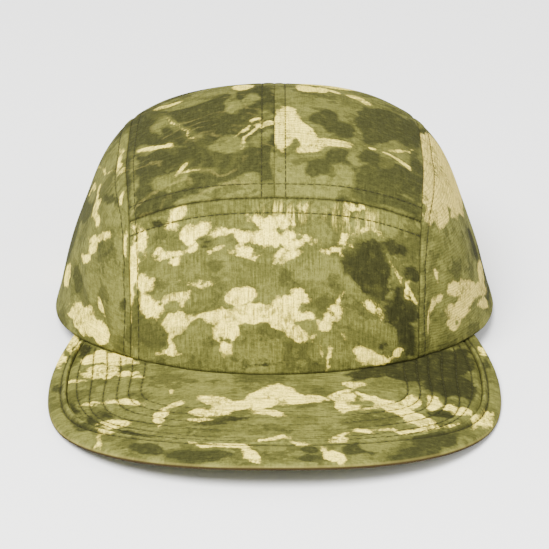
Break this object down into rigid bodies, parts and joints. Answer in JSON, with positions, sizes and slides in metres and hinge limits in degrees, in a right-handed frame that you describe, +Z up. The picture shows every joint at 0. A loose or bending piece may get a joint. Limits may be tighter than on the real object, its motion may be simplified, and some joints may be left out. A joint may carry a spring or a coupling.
{
  "type": "five panel cap",
  "caption": "Soft camouflage cotton cap with a tall front panel, a seamed top, side panels and a flat stitched peak with a bound edge",
  "frame": {"origin": "on the surface the cap rests on, below the middle of its plan outline", "axes": "-Y is the way the peak points, +X is to the right in a front view, +Z is up out of the crown"},
  "size_m": [0.175, 0.266, 0.0958],
  "materials": {
    "crown_cloth": "matt",
    "side_cloth": "matt",
    "peak_cloth": "matt",
    "under_cloth": "matt",
    "border_cloth": "matt"
  },
  "bodies": {
    "root": {"front_panel": "crown_cloth", "top_panel_left": "crown_cloth", "top_panel_right": "crown_cloth", "side_panel_left": "side_cloth", "side_panel_right": "side_cloth", "peak_top": "peak_cloth", "peak_under": "under_cloth", "peak_border": "border_cloth"}
  },
  "joints": []
}
